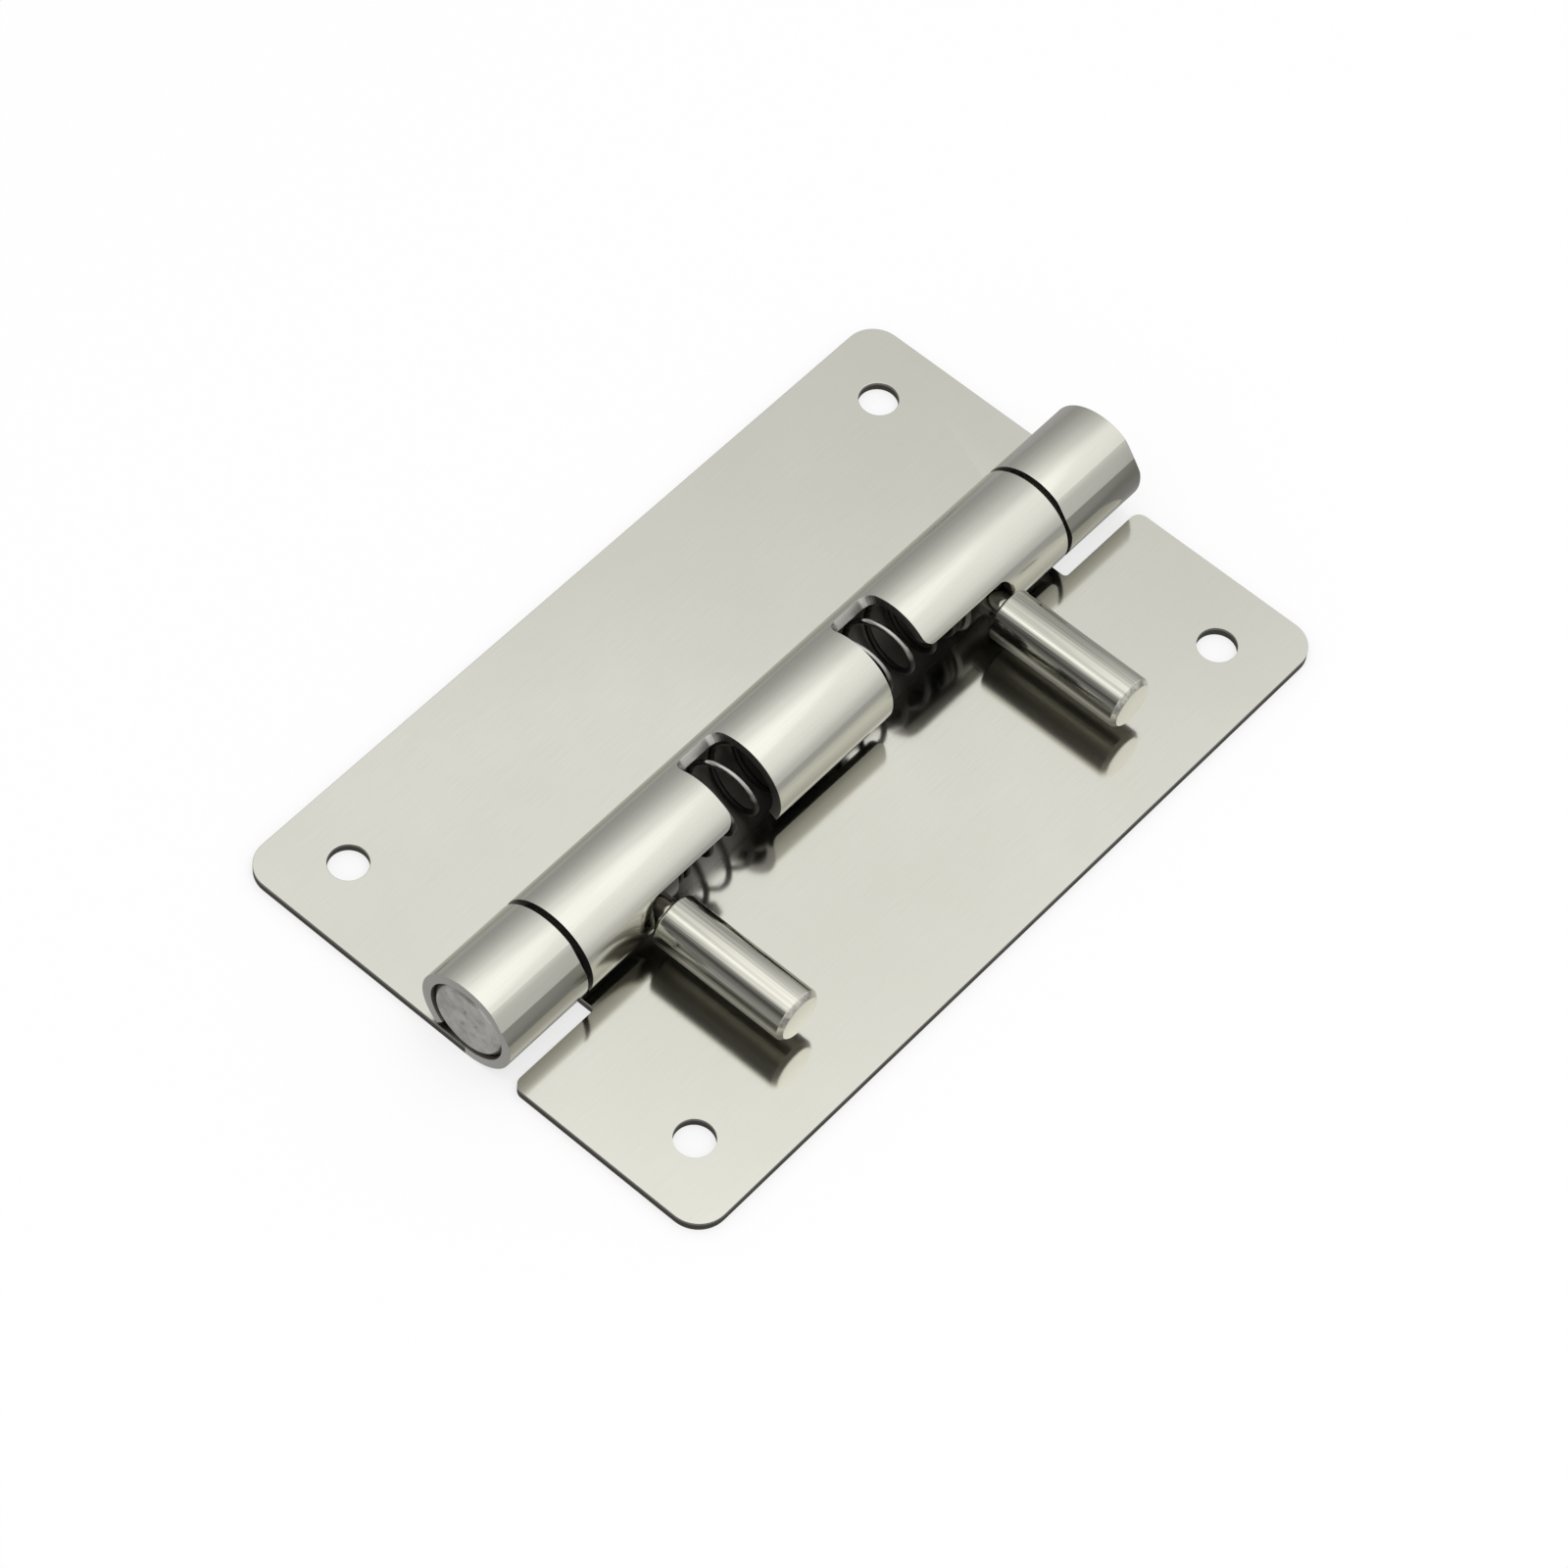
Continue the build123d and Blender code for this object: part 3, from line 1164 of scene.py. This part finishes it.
@dataclass
class Studio:
    """Pale floor, white world, one overhead softbox, what the metal mirrors and the camera."""

    floor_side: float = 4.0
    floor_drop: float = 0.05 * MM
    floor_colour: Colour = (0.36, 0.36, 0.36)
    floor_lift: float = 0.685
    ambient: float = 0.6
    box_height: float = 0.9
    box_lean: tuple[float, float] = (0.12, 0.0)
    box_spread: float = 0.55
    box_radiance: float = 1.2
    focal_pixels: float = 5737.0
    azimuth: float = 36.26
    elevation: float = 55.78
    roll: float = 6.1
    distance: float = 590.2 * MM
    clip_start: float = 10.0 * MM
    target: tuple[float, float, float] = (1.7 * MM, -2.93 * MM, 0.0)
    surround: Surround = field(default_factory=Surround)

    def build(self) -> None:
        """Set up the whole studio."""
        self.build_floor()
        self.build_world()
        self.build_softbox()
        self.surround.build()
        self.build_camera()
        bpy.context.scene.view_settings.view_transform = "Standard"

    def seen_directly(self, pad: Pad) -> Socket:
        """Which rays see the white surround as it is.

        Args:
            pad: the nodes of the floor or the world.

        Returns:
            A socket that is 1 for camera, glossy and transmission rays, and 0 for others.
        """
        rays = pad.add("ShaderNodeLightPath").outputs
        seen = pad.maths("ADD", rays["Is Camera Ray"], rays["Is Glossy Ray"], clamp=True)
        return pad.maths("ADD", seen, rays["Is Transmission Ray"], clamp=True)

    def build_floor(self) -> None:
        """Lay a pale floor that keeps the hinge's soft shadow."""
        bm = bmesh.new()
        bmesh.ops.create_grid(bm, x_segments=1, y_segments=1, size=self.floor_side / 2)
        bmesh.ops.translate(bm, vec=(0, 0, -self.floor_drop), verts=bm.verts[:])
        stage_object(bm, "floor", self.floor_shader)

    def floor_shader(self, pad: Pad) -> Socket:
        """The floor's matt surface, lifted to white where it is seen directly.

        Args:
            pad: the floor's nodes.

        Returns:
            The socket of the surface.
        """
        matt = pad.add("ShaderNodeBsdfDiffuse", {"Color": opaque(self.floor_colour)})
        lift = pad.maths("MULTIPLY", self.seen_directly(pad), self.floor_lift)
        glow = pad.add("ShaderNodeEmission", {"Color": WHITE, "Strength": lift})
        return pad.add("ShaderNodeAddShader", {0: matt.outputs[0], 1: glow.outputs[0]}).outputs[0]

    def build_world(self) -> None:
        """Surround the hinge with white, a little dimmer as a light than it looks."""
        world = bpy.data.worlds.new("surround")
        world.use_nodes = True
        pad = Pad(world.node_tree)
        dim = pad.add("ShaderNodeBackground", {"Color": WHITE, "Strength": self.ambient})
        white = pad.add("ShaderNodeBackground", {"Color": WHITE, "Strength": 1.0})
        mixed = pad.add("ShaderNodeMixShader", {
            0: self.seen_directly(pad), 1: dim.outputs[0], 2: white.outputs[0],
        })
        pad.add("ShaderNodeOutputWorld", {"Surface": mixed.outputs[0]})
        bpy.context.scene.world = world

    def build_softbox(self) -> None:
        """Hang a round softbox almost straight above the hinge."""
        lamp = bpy.data.lights.new("softbox", "AREA")
        lamp.shape = "DISK"
        radius = self.box_height * self.box_spread
        lamp.size = 2 * radius
        lamp.energy = self.box_radiance * math.pi * math.pi * radius**2
        box = bpy.data.objects.new("softbox", lamp)
        box.location = Vector((*self.box_lean, 1.0)) * self.box_height
        box.rotation_euler = box.location.to_track_quat("Z", "Y").to_euler()
        box.visible_camera = False
        box.visible_glossy = False
        bpy.context.scene.collection.objects.link(box)

    def build_camera(self) -> None:
        """Stand the camera where the photograph was taken from."""
        turn, rise, roll = (math.radians(angle) for angle in (self.azimuth, self.elevation, self.roll))
        back = Vector((math.sin(turn) * math.cos(rise), -math.cos(turn) * math.cos(rise), math.sin(rise)))
        right = Vector((math.cos(turn), math.sin(turn), 0))
        up = back.cross(right)
        rolled_right = right * math.cos(roll) + up * math.sin(roll)
        rolled_up = up * math.cos(roll) - right * math.sin(roll)
        lens = bpy.data.cameras.new("camera")
        lens.sensor_width = SENSOR_WIDTH
        lens.lens = self.focal_pixels / IMAGE_SIDE * SENSOR_WIDTH
        lens.clip_start = self.clip_start
        camera = bpy.data.objects.new("camera", lens)
        stand = Matrix((rolled_right, rolled_up, back)).transposed().to_4x4()
        stand.translation = Vector(self.target) + back * self.distance
        camera.matrix_world = stand
        bpy.context.scene.collection.objects.link(camera)
        bpy.context.scene.camera = camera


def main() -> None:
    """Build and dress the hinge, then its studio."""
    logging.basicConfig(level=logging.INFO, format="%(name)s: %(message)s")
    barrel = Barrel.from_frame()
    satin = LeafFinish(
        "satin_sheet", colour=(0.755, 0.745, 0.67), cloud_colour=(0.735, 0.726, 0.65), roughness=0.165,
        lay=Lay.ALONG_Y, barrel=barrel,
    )
    # the knuckles' painted shade ends in a crisp line low on their right flank
    knuckle_satin = replace(satin, name="satin_knuckles", right_painted_shade=(3.16 * MM, 3.04 * MM))
    edges = [finish.material() for finish in (SHEARED_EDGE, GROUND_EDGE, OILED_SHADED_EDGE)]
    BarrelLeaf(barrel, satin.material(), *edges).build()
    KnuckleLeaf(barrel, knuckle_satin.material(), *edges).build()

    faced_pin, oiled_pin, faced_bar = (finish.material() for finish in (FACED_PIN, OILED_SHADED_PIN, FACED_BAR))
    # painted shade on the lever's underside, below the axis
    drawn_bar = GradedFinish(
        "drawn_bar", colour=(0.76, 0.748, 0.665), cloud_colour=(0.68, 0.668, 0.585), roughness=0.1,
        lay=Lay.ALONG_X, line_width=0.45 * MM, line_depth=0.03 * MM, line_shade=0.4,
        low_shade_colour=(0.17, 0.163, 0.143), low_roughness=0.4,
        dark_below=barrel.axis_z - 0.4 * MM, unshaded_above=barrel.axis_z + 1.0 * MM,
    ).material()
    # painted shade on the wire's lower turns inside the barrel
    wire = GradedFinish(
        "bright_wire", colour=(0.55, 0.54, 0.52), cloud_colour=(0.45, 0.44, 0.42), roughness=0.22,
        low_shade_colour=(0.05, 0.048, 0.045),
        dark_below=barrel.axis_z + 1.0 * MM, unshaded_above=barrel.axis_z + 2.6 * MM,
    ).material()
    for end in End:
        SprungPin(barrel, end, faced_pin, oiled_pin).build()
        FingerLever(barrel, end, drawn_bar, faced_bar).build()
        SpringHalf(barrel, end, wire).build()
    Studio().build()


if __name__ == "__main__":
    main()
